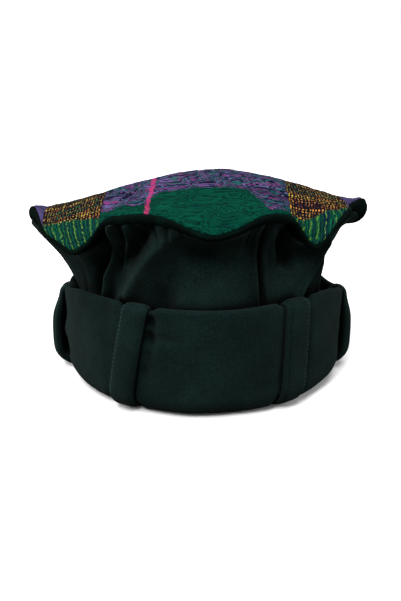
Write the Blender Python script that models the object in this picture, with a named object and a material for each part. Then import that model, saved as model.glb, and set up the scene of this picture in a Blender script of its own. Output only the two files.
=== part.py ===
"""A soft cap with a broad wavy top panel and a wide turned-up cuff, at its real size in metres.

The crown's wall stands on the cuff's lower fold, rises through the cuff and flares to a wavy rim,
where a facing joins it to the top panel. Six padded loops hold the cuff up.

+Z is up, the front faces -Y, and the origin is below the middle of the whole cap, at its base.
Angles are in degrees round the cap from the front and grow towards +X. A section is a list of
radii and heights at an angle.
"""

from collections import namedtuple

import bmesh
import bpy
import numpy as np

# Sizes of the cuff and the crown's wall

HEAD_RADIUS = 0.0910  # inside of the wall, for a head of about 57 cm
WALL = 0.0024  # thickness of the wall's cloth
CUFF = 0.0052  # thickness of the padded cuff
CUFF_HEIGHT = 0.0800  # at its highest
CUFF_FLARE = 0.0013  # how far the cuff leans out at its top
CUFF_ROUND = 0.0164  # outer rounding of the cuff's lower fold
SOLE = 0.0045  # width of the flat ring that the cap rests on
GAP = 0.0003  # clearance between two pieces

# Sizes of the loops

LOOP = 0.0038  # thickness of a padded loop
LOOP_PRESSED = 0.0022  # and where it is pressed flat under the cuff
LOOP_WIDTH = 0.0215
LOOP_LIFT = 0.0070  # how far the slackest loop stands off the cuff at half height
LOOP_TAIL = 0.0140  # how far a loop reaches down behind the cuff
LOOP_SLACK = 0.0010  # spare room behind the cuff
LOOP_PINCH = 0.0030  # how far a loop presses the cuff's top edge down

# Sizes of the crown

CROWN_HEIGHT = 0.1600  # highest point of the panel
CROWN_PEAK = 0.0450  # how far the highest point lies in front of the middle
CROWN_SIDE = 0.0080  # and to its +X side
CROWN_ROUND = 0.0400  # how round the panel is there
CROWN_SLOPE = 0.39  # how steeply it falls further out, as height over length
CROWN_FRONT = 0.75  # share of the slope towards the front
CROWN_BACK = 1.05  # and towards the back
RIM_RADIUS = 0.1260
RIM_FALL = 0.0400  # how far the lowest lobe hangs below the highest point
PANEL = 0.0030  # thickness of the panel
FACING = 0.0022  # thickness of the rim's facing
FACING_WIDTH = 0.0050  # how far the facing reaches below the panel
FACING_TURN = 12.0  # degrees that the facing turns in below the panel
LOBE_TURN = 30.0  # and how much further under the drooping lobes
LOBE_START = 0.4  # share of RIM_FALL at which a lobe begins to turn in
LOBE_FULL = 0.8  # and at which it has turned in fully
FOLD = 0.0100  # depth of a full fold in the wall

# Sections round the cap

AROUND = 90
STEP = 360.0 / AROUND
ANGLES = np.arange(AROUND) * STEP

# The rim's waves: reach is a share of RIM_RADIUS, fall a share of RIM_FALL

Rim = namedtuple("Rim", "angle reach fall")
RIM = [
    Rim(-180, 0.96, 1.18),
    Rim(-166, 0.94, 1.08),
    Rim(-152, 0.92, 0.98),
    Rim(-140, 0.93, 1.06),
    Rim(-127, 0.96, 1.22),
    Rim(-113, 0.97, 1.14),
    Rim(-101, 0.98, 1.00),
    Rim(-92, 0.99, 0.86),
    Rim(-84, 1.00, 0.78),
    Rim(-77, 0.99, 0.68),
    Rim(-71, 0.98, 0.73),
    Rim(-65, 0.98, 0.84),
    Rim(-58, 1.00, 0.91),
    Rim(-50, 1.00, 0.98),
    Rim(-40, 1.00, 1.00),
    Rim(-36, 0.98, 0.80),
    Rim(-32, 0.95, 0.50),
    Rim(-25, 0.94, 0.37),
    Rim(-18, 0.94, 0.32),
    Rim(-11, 0.95, 0.36),
    Rim(-4, 0.98, 0.49),
    Rim(2, 1.00, 0.59),
    Rim(10, 0.98, 0.50),
    Rim(17, 0.95, 0.36),
    Rim(24, 0.94, 0.35),
    Rim(29, 0.94, 0.47),
    Rim(34, 0.99, 0.88),
    Rim(39, 1.00, 0.78),
    Rim(43, 1.00, 0.56),
    Rim(48, 0.97, 0.50),
    Rim(54, 0.94, 0.48),
    Rim(61, 0.90, 0.48),
    Rim(69, 0.92, 0.46),
    Rim(75, 0.93, 0.54),
    Rim(81, 0.91, 0.72),
    Rim(90, 0.86, 0.94),
    Rim(101, 0.84, 1.06),
    Rim(113, 0.85, 1.12),
    Rim(127, 0.88, 1.08),
    Rim(140, 0.91, 1.00),
    Rim(152, 0.93, 1.02),
    Rim(166, 0.95, 1.14),
]

# The panel from its middle to the rim: out is a share of the rim's radius there, turn the share of
# the way from the round dome to the rim's own height

Panel = namedtuple("Panel", "out turn")
PANEL_RINGS = [
    Panel(0.26, 0.00),
    Panel(0.50, 0.02),
    Panel(0.70, 0.10),
    Panel(0.84, 0.28),
    Panel(0.95, 0.55),
    Panel(1.00, 1.00),
]

# Folds in the wall: low and high are its angles at the cuff and at the facing, spread is its half
# width in degrees, rise a share of FOLD, start and end are shares of the way up

Fold = namedtuple("Fold", "low high spread rise start end")
FOLDS = [
    Fold(-78, -75, 22, 0.10, 0.15, 1.00),
    Fold(-58, -50, 6, -0.95, 0.00, 1.00),
    Fold(-47, -42, 5, 0.60, 0.12, 0.95),
    Fold(-37, -33, 4, -0.60, 0.15, 1.00),
    Fold(-36, -16, 8, 0.45, 0.15, 0.95),
    Fold(0, 0, 20, 0.30, 0.05, 0.80),
    Fold(28, 28, 4, -0.55, 0.00, 1.00),
    Fold(41, 36, 5, 0.45, 0.15, 0.95),
    Fold(50, 46, 5, -0.75, 0.00, 1.00),
    Fold(74, 72, 15, -0.80, 0.06, 1.00),
    Fold(102, 100, 15, -0.50, 0.10, 1.00),
    Fold(124, 126, 6, -0.60, 0.00, 1.00),
    Fold(140, 138, 7, 0.45, 0.15, 0.95),
    Fold(156, 154, 6, -0.55, 0.00, 1.00),
    Fold(172, 168, 8, 0.45, 0.05, 0.95),
    Fold(-168, -170, 6, -0.50, 0.00, 1.00),
    Fold(-150, -152, 7, 0.40, 0.15, 0.95),
    Fold(-134, -138, 6, -0.60, 0.00, 1.00),
    Fold(-112, -120, 9, 0.50, 0.05, 1.00),
]
FOLD_FADE = 0.18  # share of the way up over which a fold begins or ends

# The wall's visible rows, as shares of the way from the cuff's top to the facing

WALL_ROWS = [0.0, 0.12, 0.25, 0.39, 0.53, 0.67, 0.80, 0.91, 1.0]
WALL_RISE = 0.36  # how far the wall first goes straight up, as a share of its visible length
WALL_LEAN = 0.28  # and how far it leaves the facing straight

# The cuff's top edge, which dips at the sides: height is a share of CUFF_HEIGHT

Edge = namedtuple("Edge", "angle height")
CUFF_EDGE = [
    Edge(-180, 0.97),
    Edge(-150, 0.96),
    Edge(-120, 0.91),
    Edge(-88, 0.84),
    Edge(-72, 0.90),
    Edge(-58, 0.98),
    Edge(-40, 1.00),
    Edge(-20, 1.00),
    Edge(0, 0.99),
    Edge(20, 1.00),
    Edge(40, 1.00),
    Edge(58, 0.98),
    Edge(72, 0.90),
    Edge(88, 0.84),
    Edge(120, 0.91),
    Edge(150, 0.96),
]

# The loops: foot and top are their middle angles at the base and at the cuff's top, lift is a
# share of LOOP_LIFT

Loop = namedtuple("Loop", "name foot top lift")
LOOPS = [
    Loop("cuff_loop_left", -88, -88, 1.00),
    Loop("cuff_loop_front_left", -34, -25, 0.30),
    Loop("cuff_loop_front_right", 38.5, 37, 0.15),
    Loop("cuff_loop_right", 88, 88, 0.90),
    Loop("cuff_loop_back_right", 146, 146, 0.20),
    Loop("cuff_loop_back_left", -146, -146, 0.20),
]
LOOP_ACROSS = [-1.0, -0.5, 0.0, 0.5, 1.0]  # shares of half the width
LOOP_EDGE = 0.55  # a loop's thickness at its edges, as a share of its thickness in the middle

# A loop's stations from under the foot to its tail: full is its thickness as a share of the way
# from pressed flat to LOOP, lift a share of how far the loop stands off the cuff

Station = namedtuple("Station", "full lift")
LOOP_STATIONS = [
    Station(0.0, 0.00),
    Station(0.0, 0.00),
    Station(0.3, 0.15),
    Station(0.8, 0.60),
    Station(1.0, 0.95),
    Station(1.0, 1.00),
    Station(1.0, 0.90),
    Station(1.0, 0.60),
    Station(1.0, 0.12),
    Station(1.0, 0.00),
    Station(1.0, 0.00),
    Station(1.0, 0.00),
    Station(1.0, 0.00),
]

# Places that follow from the sizes

CUFF_INNER = HEAD_RADIUS + WALL + LOOP + 2 * GAP + LOOP_SLACK
CUFF_OUTER = CUFF_INNER + CUFF
FOLD_CENTRE = CUFF_OUTER - CUFF_ROUND  # radius of the lower fold's centre
LOOP_ROOM = LOOP_PRESSED + GAP  # what the cuff leaves free under its foot for a loop

# The cloths' colours and roughness

Cloth = namedtuple("Cloth", "colour roughness")
PLAID_CLOTH = Cloth((0.010, 0.060, 0.034, 1.0), 0.85)
WALL_CLOTH = Cloth((0.007, 0.013, 0.012, 1.0), 0.75)
FACING_CLOTH = Cloth((0.005, 0.014, 0.011, 1.0), 0.80)
CUFF_CLOTH = Cloth((0.009, 0.017, 0.016, 1.0), 0.80)
LOOP_CLOTH = Cloth((0.009, 0.017, 0.016, 1.0), 0.75)

SHARP_ANGLE = 50.0  # an edge with a wider bend than this stays sharp


def smooth(share):
    """A soft step from 0 to 1."""
    share = np.clip(share, 0.0, 1.0)
    return share * share * (3.0 - 2.0 * share)


def round_table(rows, column, angles):
    """A smooth curve round the cap through one column of a table, read at the angles."""
    knots = np.array([row.angle for row in rows], float)
    values = np.array([getattr(row, column) for row in rows], float)
    knots = np.concatenate([knots[-2:] - 360, knots, knots[:2] + 360])
    values = np.concatenate([values[-2:], values, values[:2]])
    slopes = np.gradient(values, knots)
    angles = (np.asarray(angles, float) + 180.0) % 360.0 - 180.0
    i = np.clip(np.searchsorted(knots, angles) - 1, 0, len(knots) - 2)
    span = knots[i + 1] - knots[i]
    t = (angles - knots[i]) / span
    ends = (2 * t**3 - 3 * t**2 + 1) * values[i] + (3 * t**2 - 2 * t**3) * values[i + 1]
    bends = (t**3 - 2 * t**2 + t) * slopes[i] + (t**3 - t**2) * slopes[i + 1]
    return ends + bends * span


def apart(a, b):
    """The angle from b to a, the short way round."""
    return (np.asarray(a) - b + 180.0) % 360.0 - 180.0


def place(radius, height, angles):
    """Points at radii and heights round the cap."""
    turn = np.radians(angles)
    height = np.broadcast_to(height, np.shape(radius))
    return np.stack([radius * np.sin(turn), -radius * np.cos(turn), height], axis=-1)


# The panel and the facing


def dome(x, y):
    """The panel's height before its rim bends away, highest a little in front of the middle."""
    side = x - CROWN_SIDE
    back = y + CROWN_PEAK
    back = back * np.where(back < 0, CROWN_FRONT, CROWN_BACK)
    return CROWN_HEIGHT - CROWN_SLOPE * (np.sqrt(side**2 + back**2 + CROWN_ROUND**2) - CROWN_ROUND)


def panel_top(out, turn, angles):
    """Radius and height of the panel's upper side."""
    rim = RIM_RADIUS * round_table(RIM, "reach", angles)
    level = CROWN_HEIGHT - RIM_FALL * round_table(RIM, "fall", angles)
    radius = rim * out
    point = place(radius, 0.0, angles)
    edge = place(rim, 0.0, angles)
    bend = level - dome(edge[..., 0], edge[..., 1])
    return radius, dome(point[..., 0], point[..., 1]) + bend * turn


def directions(radius, height):
    """Unit steps along a list of rows of a section, outwards, as radius and height parts."""
    along = np.gradient(radius, axis=0), np.gradient(height, axis=0)
    length = np.hypot(*along)
    return along[0] / length, along[1] / length


def panel_sections():
    """The panel's rows: over its top to the rim, and back under it."""
    top = [panel_top(row.out, row.turn, ANGLES) for row in PANEL_RINGS]
    radius, height = (np.array(part) for part in zip(*top))
    out, up = directions(radius, height)
    under = radius + up * PANEL, height - out * PANEL
    return (radius, height), under, (out[-1], up[-1])


def turned(out, up, degrees):
    """A direction turned in a section, from outwards to downwards."""
    c, s = np.cos(np.radians(degrees)), np.sin(np.radians(degrees))
    return out * c + up * s, up * c - out * s


def facing_sections():
    """The facing's outer and inner rows from the panel down, and the way it points at its end."""
    (radius, height), _, along = panel_sections()
    inner = [(radius[-1] + along[0] * GAP, height[-1] + along[1] * GAP)]
    down = turned(*along, 90.0)
    inner.append((inner[0][0] + down[0] * PANEL, inner[0][1] + down[1] * PANEL))
    lobe = smooth((round_table(RIM, "fall", ANGLES) - LOBE_START) / (LOBE_FULL - LOBE_START))
    on = turned(*down, FACING_TURN + LOBE_TURN * lobe)
    inner.append((inner[1][0] + on[0] * FACING_WIDTH, inner[1][1] + on[1] * FACING_WIDTH))
    outward = turned(*on, -90.0)
    sides = [along, along, outward]
    outer = [(r + s[0] * FACING, z + s[1] * FACING) for (r, z), s in zip(inner, sides)]
    return outer, inner, on, outward


# The crown's wall


def pinch(angles, end):
    """How fully the cuff is pressed at each angle by a loop: end is foot or top."""
    half = np.degrees(LOOP_WIDTH / 2 / CUFF_OUTER) + STEP
    pressed = np.zeros(np.shape(angles))
    for loop in LOOPS:
        beyond = np.abs(apart(angles, getattr(loop, end))) - half
        pressed = np.maximum(pressed, 1.0 - smooth(beyond / STEP))
    return pressed


def cuff_top(angles):
    """The height of the cuff's top edge."""
    return CUFF_HEIGHT * round_table(CUFF_EDGE, "height", angles)


def fold_rise(share, angles):
    """How far the wall's folds stand out, at a share of the way up."""
    rise = np.zeros(np.shape(angles))
    for fold in FOLDS:
        middle = fold.low + (fold.high - fold.low) * share
        across = np.exp(-((apart(angles, middle) / fold.spread) ** 2))
        along = smooth((share - fold.start) / FOLD_FADE) * smooth((fold.end - share) / FOLD_FADE)
        rise += fold.rise * across * along
    return FOLD * rise


def wall_sections():
    """The wall's outer rows from its foot to the facing, and its inner rows."""
    outer, _, on, outward = facing_sections()
    tip = outer[-1][0] + on[0] * GAP, outer[-1][1] + on[1] * GAP
    base = np.full(AROUND, HEAD_RADIUS + WALL), cuff_top(ANGLES) - LOOP_TAIL / 2
    length = np.hypot(tip[0] - base[0], tip[1] - base[1])
    rise = base[0], base[1] + length * WALL_RISE
    lean = tip[0] + on[0] * length * WALL_LEAN, tip[1] + on[1] * length * WALL_LEAN
    foot_level = CUFF + GAP + LOOP_ROOM * pinch(ANGLES, "foot")
    rows = [
        (np.full(AROUND, FOLD_CENTRE), foot_level),
        (base[0], foot_level + CUFF_ROUND),
    ]
    for share in WALL_ROWS:
        weights = (1 - share) ** 3, 3 * share * (1 - share) ** 2, 3 * share**2 * (1 - share), share**3
        radius = sum(w * point[0] for w, point in zip(weights, (base, rise, lean, tip)))
        height = sum(w * point[1] for w, point in zip(weights, (base, rise, lean, tip)))
        rows.append((radius + fold_rise(share, ANGLES), height))
    radius, height = (np.array(part) for part in zip(*rows))
    out, up = directions(radius, height)
    out[0], up[0] = 0.0, 1.0
    out[-1], up[-1] = -on[0], -on[1]
    return (radius, height), (radius - up * WALL, height + out * WALL)


# The cuff and its loops


def arc(centre, radius, degrees):
    """Points of a section on a round of this radius, counted from outwards to upwards."""
    turn = np.radians(degrees)
    return [(centre[0] + radius * np.cos(a), centre[1] + radius * np.sin(a)) for a in turn]


def cuff_outside(height, foot, top, off=0.0):
    """A section round the cuff's outer side, off clear of it: foot and top say how far it's pressed."""
    fold = FOLD_CENTRE, CUFF_ROUND + foot * LOOP_ROOM
    crest = CUFF_OUTER + CUFF_FLARE - CUFF / 2, height - CUFF / 2 - top * LOOP_PINCH
    middle = CUFF_OUTER + CUFF_FLARE / 2 + off, (fold[1] + crest[1]) / 2
    return (
        [(FOLD_CENTRE - SOLE, fold[1] - CUFF_ROUND - off)]
        + arc(fold, CUFF_ROUND + off, [-90, -60, -30, 0])
        + [middle]
        + arc(crest, CUFF / 2 + off, [0, 60, 120, 180])
    )


def cuff_section(height, foot, top):
    """A whole section of the cuff, with its inner side."""
    fold = FOLD_CENTRE, CUFF_ROUND + foot * LOOP_ROOM
    inside = arc(fold, CUFF_ROUND - CUFF, [0, -45, -90])
    return cuff_outside(height, foot, top) + inside + [(FOLD_CENTRE - SOLE, fold[1] - CUFF_ROUND + CUFF)]


def loop_line(height, off):
    """A line off clear of the cuff: from under its foot, up its face, over its top and behind it."""
    line = cuff_outside(height, 1.0, 1.0, off)
    foot, middle, crest, end = line[4], line[5], line[6], line[-1]
    low = (foot[0] + middle[0]) / 2, (foot[1] + middle[1]) / 2
    high = (crest[0] + middle[0]) / 2, (crest[1] + middle[1]) / 2
    tail = end[0] - CUFF_FLARE * LOOP_TAIL / CUFF_HEIGHT, end[1] - LOOP_TAIL
    return np.array(line[:5] + [low, middle, high] + line[6:] + [tail])


def loop_grid(loop):
    """A loop's inner and outer points, a row for each place across it."""
    full = np.array([[row.full] for row in LOOP_STATIONS])
    lift = np.array([row.lift for row in LOOP_STATIONS]) * LOOP_LIFT * loop.lift
    inner_rows, outer_rows = [], []
    for across in LOOP_ACROSS:
        share = 1.0 - (1.0 - LOOP_EDGE) * across**2
        beside = np.degrees(across * LOOP_WIDTH / 2 / CUFF_OUTER)
        top = float(cuff_top(loop.top + beside))
        inner = loop_line(top, GAP)
        pressed = loop_line(top, GAP + LOOP_PRESSED * share)
        outer = pressed + (loop_line(top, GAP + LOOP * share) - pressed) * full
        for rows, line in ((inner_rows, inner), (outer_rows, outer)):
            radius, height = line.T
            middle = loop.foot + (loop.top - loop.foot) * np.clip(height / top, 0.0, 1.0)
            rows.append(place(radius + lift, height, middle + beside))
    return np.array(inner_rows), np.array(outer_rows)


# Solids


def material_of(name, cloth):
    """A plain material for a cloth."""
    made = bpy.data.materials.new(name)
    made.use_nodes = True
    shader = made.node_tree.nodes["Principled BSDF"]
    shader.inputs["Base Color"].default_value = cloth.colour
    shader.inputs["Roughness"].default_value = cloth.roughness
    shader.inputs["Metallic"].default_value = 0.0
    return made


def solid(name, points, faces, material):
    """A smooth closed body from points and faces, with its faces turned outwards."""
    mesh = bpy.data.meshes.new(name)
    mesh.from_pydata([tuple(point) for point in points], [], faces)
    body = bmesh.new()
    body.from_mesh(mesh)
    bmesh.ops.recalc_face_normals(body, faces=body.faces)
    body.to_mesh(mesh)
    body.free()
    mesh.materials.append(material)
    mesh.shade_smooth()
    mesh.set_sharp_from_angle(angle=np.radians(SHARP_ANGLE))
    made = bpy.data.objects.new(name, mesh)
    bpy.context.scene.collection.objects.link(made)
    return made


def grid_faces(rows, columns, closed_rows, closed_columns):
    """Triangles over a grid of points, joined end to start where it is closed."""
    faces = []
    for i in range(rows if closed_rows else rows - 1):
        for j in range(columns if closed_columns else columns - 1):
            a, b = i * columns + j, i * columns + (j + 1) % columns
            c, d = (i + 1) % rows * columns + (j + 1) % columns, (i + 1) % rows * columns + j
            faces += [(a, b, c), (a, c, d)]
    return faces


def ring_solid(name, rows, material):
    """A closed ring whose section is the list of rows."""
    points = np.array([place(radius, height, ANGLES) for radius, height in rows])
    faces = grid_faces(len(rows), AROUND, True, True)
    return solid(name, points.reshape(-1, 3), faces, material)


def cap_solid(name, rows, middles, material):
    """A closed body from a list of rows, with a point on the axis before the first and after the last."""
    points = np.array([place(radius, height, ANGLES) for radius, height in rows]).reshape(-1, 3)
    faces = grid_faces(len(rows), AROUND, False, True)
    first, last = len(points), len(points) + 1
    end = (len(rows) - 1) * AROUND
    for j in range(AROUND):
        following = (j + 1) % AROUND
        faces += [(first, following, j), (last, end + j, end + following)]
    points = np.vstack([points, [(0.0, 0.0, middle) for middle in middles]])
    return solid(name, points, faces, material)


def make_crown_top(material):
    (radius, height), (under_radius, under_height), _ = panel_sections()
    rows = list(zip(radius, height)) + list(zip(under_radius[::-1], under_height[::-1]))
    middle = float(dome(np.float64(0.0), np.float64(0.0)))
    return cap_solid("crown_top", rows, (middle, middle - PANEL), material)


def make_rim_facing(material):
    outer, inner, _, _ = facing_sections()
    return ring_solid("rim_facing", inner + outer[::-1], material)


def make_crown_side(material):
    (radius, height), (inner_radius, inner_height) = wall_sections()
    rows = list(zip(inner_radius, inner_height)) + list(zip(radius[::-1], height[::-1]))
    return ring_solid("crown_side", rows, material)


def make_cuff(material):
    rows = cuff_section(cuff_top(ANGLES), pinch(ANGLES, "foot"), pinch(ANGLES, "top"))
    rows = [(radius + np.zeros(AROUND), height + np.zeros(AROUND)) for radius, height in rows]
    return ring_solid("cuff", rows, material)


def make_loop(loop, material):
    inner, outer = loop_grid(loop)
    rim = np.concatenate([inner, outer[::-1]])
    across, along = rim.shape[:2]
    faces = grid_faces(across, along, True, False)
    half = len(LOOP_ACROSS)
    for j in (0, along - 1):
        for i in range(half - 1):
            a, b = i * along + j, (i + 1) * along + j
            c, d = (across - 2 - i) * along + j, (across - 1 - i) * along + j
            faces += [(a, b, c), (a, c, d)] if j else [(a, c, b), (a, d, c)]
    return solid(loop.name, rim.reshape(-1, 3), faces, material)


def centre(pieces):
    """Moves the pieces together so that the whole cap's middle is over the origin."""
    points = np.array([vertex.co for piece in pieces for vertex in piece.data.vertices])
    middle = (points.min(axis=0) + points.max(axis=0)) / 2
    for piece in pieces:
        piece.location = (-middle[0], -middle[1], 0.0)


def main():
    for old in list(bpy.data.objects):
        bpy.data.objects.remove(old)
    pieces = [
        make_crown_top(material_of("panel_plaid", PLAID_CLOTH)),
        make_rim_facing(material_of("facing_rib", FACING_CLOTH)),
        make_crown_side(material_of("wall_cloth", WALL_CLOTH)),
        make_cuff(material_of("cuff_cloth", CUFF_CLOTH)),
    ]
    for loop in LOOPS:
        pieces.append(make_loop(loop, material_of(loop.name + "_cloth", LOOP_CLOTH)))
    centre(pieces)


main()
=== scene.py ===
"""The looks of a soft cap with a broad plaid panel, a gathered wall and a wide turned-up cuff.

Lengths are in metres. Angles are in degrees round the cap from the front and grow towards +X.
Sections are worked out round the head's axis and then moved to where the frame has it.
"""

import math
from collections import namedtuple

import bpy
import numpy as np
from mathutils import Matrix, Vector


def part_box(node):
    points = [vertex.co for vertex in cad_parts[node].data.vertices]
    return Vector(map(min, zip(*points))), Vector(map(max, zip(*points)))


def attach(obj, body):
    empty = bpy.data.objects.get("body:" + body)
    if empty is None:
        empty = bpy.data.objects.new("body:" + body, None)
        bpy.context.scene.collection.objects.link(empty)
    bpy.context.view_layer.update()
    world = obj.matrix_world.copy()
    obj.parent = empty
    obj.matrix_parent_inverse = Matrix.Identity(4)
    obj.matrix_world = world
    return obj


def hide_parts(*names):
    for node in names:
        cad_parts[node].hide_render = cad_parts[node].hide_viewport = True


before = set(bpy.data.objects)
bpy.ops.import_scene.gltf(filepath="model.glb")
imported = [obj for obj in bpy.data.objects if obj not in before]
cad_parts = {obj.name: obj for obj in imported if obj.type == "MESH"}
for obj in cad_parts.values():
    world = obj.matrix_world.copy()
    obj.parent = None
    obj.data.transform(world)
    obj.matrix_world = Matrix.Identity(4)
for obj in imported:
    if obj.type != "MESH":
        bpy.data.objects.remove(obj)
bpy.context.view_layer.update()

CUFF_LOW, CUFF_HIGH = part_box("cuff")
AXIS = (np.array(CUFF_LOW) + np.array(CUFF_HIGH)) / 2 * (1, 1, 0)

# Sizes that the frame's solids have

HEAD_RADIUS = 0.0910
WALL = 0.0024
CUFF = 0.0052
CUFF_HEIGHT = 0.0800
CUFF_FLARE = 0.0013
CUFF_ROUND = 0.0164
SOLE = 0.0045
GAP = 0.0003
LOOP = 0.0038
LOOP_PRESSED = 0.0022
LOOP_WIDTH = 0.0215
LOOP_LIFT = 0.0070
LOOP_TAIL = 0.0140
LOOP_SLACK = 0.0010
LOOP_PINCH = 0.0030
CROWN_HEIGHT = 0.1600
CROWN_PEAK = 0.0450
CROWN_SIDE = 0.0080
CROWN_ROUND = 0.0400
CROWN_SLOPE = 0.39
CROWN_FRONT = 0.75
CROWN_BACK = 1.05
RIM_RADIUS = 0.1260
RIM_FALL = 0.0400
PANEL = 0.0030
FACING = 0.0022
FACING_WIDTH = 0.0032
FACING_TURN = 12.0
LOBE_TURN = 30.0
LOBE_START = 0.4
LOBE_FULL = 0.8
WALL_RISE = 0.36
WALL_LEAN = 0.28
FRONT_HOLLOW = 0.0150

CUFF_INNER = HEAD_RADIUS + WALL + LOOP + 2 * GAP + LOOP_SLACK
CUFF_OUTER = CUFF_INNER + CUFF
FOLD_CENTRE = CUFF_OUTER - CUFF_ROUND
LOOP_ROOM = LOOP_PRESSED + GAP

# The rim's waves: reach is a share of RIM_RADIUS, fall a share of RIM_FALL

Rim = namedtuple("Rim", "angle reach fall")
RIM = [
    Rim(-180, 0.96, 1.18),
    Rim(-166, 0.94, 1.08),
    Rim(-152, 0.92, 0.98),
    Rim(-140, 0.93, 1.06),
    Rim(-127, 0.96, 1.22),
    Rim(-113, 0.97, 1.14),
    Rim(-101, 0.98, 1.00),
    Rim(-92, 0.99, 0.86),
    Rim(-84, 0.99, 0.78),
    Rim(-77, 0.975, 0.68),
    Rim(-71, 0.97, 0.73),
    Rim(-65, 0.98, 0.84),
    Rim(-58, 1.00, 0.91),
    Rim(-50, 1.00, 0.98),
    Rim(-40, 1.00, 1.00),
    Rim(-36, 0.98, 0.80),
    Rim(-32, 0.95, 0.50),
    Rim(-25, 0.94, 0.37),
    Rim(-18, 0.94, 0.32),
    Rim(-11, 0.95, 0.36),
    Rim(-4, 0.98, 0.49),
    Rim(2, 1.00, 0.59),
    Rim(10, 0.98, 0.50),
    Rim(17, 0.95, 0.36),
    Rim(24, 0.94, 0.35),
    Rim(29, 0.94, 0.47),
    Rim(34, 0.99, 0.88),
    Rim(39, 1.00, 0.78),
    Rim(43, 1.00, 0.56),
    Rim(48, 0.97, 0.50),
    Rim(54, 0.94, 0.48),
    Rim(61, 0.90, 0.48),
    Rim(69, 0.92, 0.46),
    Rim(75, 0.92, 0.54),
    Rim(81, 0.895, 0.72),
    Rim(90, 0.85, 0.94),
    Rim(101, 0.84, 1.06),
    Rim(113, 0.85, 1.12),
    Rim(127, 0.88, 1.08),
    Rim(140, 0.91, 1.00),
    Rim(152, 0.93, 1.02),
    Rim(166, 0.95, 1.14),
]

# How the panel bends from its round dome at out 0 to the rim's own height at out 1

PANEL_OUT = [0.0, 0.26, 0.50, 0.70, 0.84, 0.95, 1.0]
PANEL_TURN = [0.0, 0.0, 0.02, 0.10, 0.28, 0.58, 1.0]

# The cuff's top edge: height is a share of CUFF_HEIGHT

Edge = namedtuple("Edge", "angle height")
CUFF_EDGE = [
    Edge(-180, 0.97),
    Edge(-150, 0.96),
    Edge(-120, 0.91),
    Edge(-88, 0.82),
    Edge(-72, 0.90),
    Edge(-58, 0.98),
    Edge(-40, 1.00),
    Edge(-20, 1.00),
    Edge(0, 0.99),
    Edge(20, 1.00),
    Edge(40, 1.00),
    Edge(58, 0.98),
    Edge(72, 0.90),
    Edge(88, 0.81),
    Edge(106, 0.74),
    Edge(124, 0.80),
    Edge(150, 0.95),
]

# The loops: foot and top are their middle angles, wide a share of LOOP_WIDTH, lift a share of
# LOOP_LIFT, lean the share of it that a loop's rear edge lacks, plump a share of LOOP, and seams
# the places across it with stitches

Loop = namedtuple("Loop", "name foot top wide lift lean plump seams")
LOOPS = [
    Loop("left", -88, -88, 1.00, 0.72, 0.80, 1.90, (-0.78, 0.78)),
    Loop("front_left", -33.2, -25.2, 0.86, 0.40, 0.00, 1.25, (-0.84,)),
    Loop("front_right", 36.2, 37, 0.95, 0.12, 0.00, 1.00, (-0.72, 0.76)),
    Loop("right", 88, 88, 1.00, 0.42, 0.85, 1.85, (-0.78, 0.78)),
    Loop("back_right", 146, 146, 1.00, 0.20, 0.00, 1.15, (-0.82, 0.82)),
    Loop("back_left", -146, -146, 1.00, 0.20, 0.00, 1.15, (-0.82, 0.82)),
]

# How a loop stands off the cuff from its foot to its top: height is a share of the cuff's

Stand = namedtuple("Stand", "height lift")
LOOP_STANDS = [
    Stand(0.00, 0.00),
    Stand(0.06, 0.45),
    Stand(0.16, 0.92),
    Stand(0.30, 1.00),
    Stand(0.50, 0.92),
    Stand(0.70, 0.60),
    Stand(0.88, 0.16),
    Stand(1.00, 0.00),
]

# Folds in the wall. a, b, c, d and e are a fold's angles at the cuff, at each quarter of the way up
# and at the facing, wide is its half width in degrees, rise its depth, edge how sharp it is (2 is
# round, 1 is a crease), start and end are shares of the way up

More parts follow.
